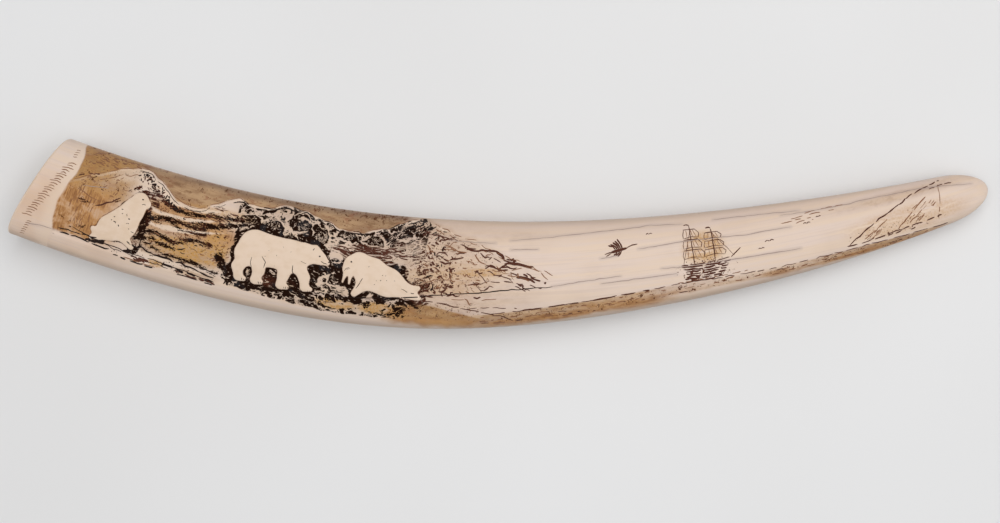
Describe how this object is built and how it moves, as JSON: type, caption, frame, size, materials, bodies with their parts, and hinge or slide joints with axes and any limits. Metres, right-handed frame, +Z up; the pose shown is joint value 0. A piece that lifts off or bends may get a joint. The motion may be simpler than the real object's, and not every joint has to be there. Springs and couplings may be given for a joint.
{
  "type": "scrimshaw walrus tusk",
  "caption": "Whole curved walrus tusk lying on its broad side, cut flat at the root and blunt at the tip, engraved and inked on the upper side.",
  "frame": {"origin": "on the floor, below the middle of the tusk's bounding box", "axes": "+X along the tusk from the root cut to the tip, +Y across it towards the hollow side of its curve, +Z up out of the engraved side"},
  "size_m": [0.532, 0.1028, 0.0381],
  "materials": {
    "ivory": "satin"
  },
  "bodies": {
    "root": {"scrimshaw_tusk": "ivory"}
  },
  "joints": []
}
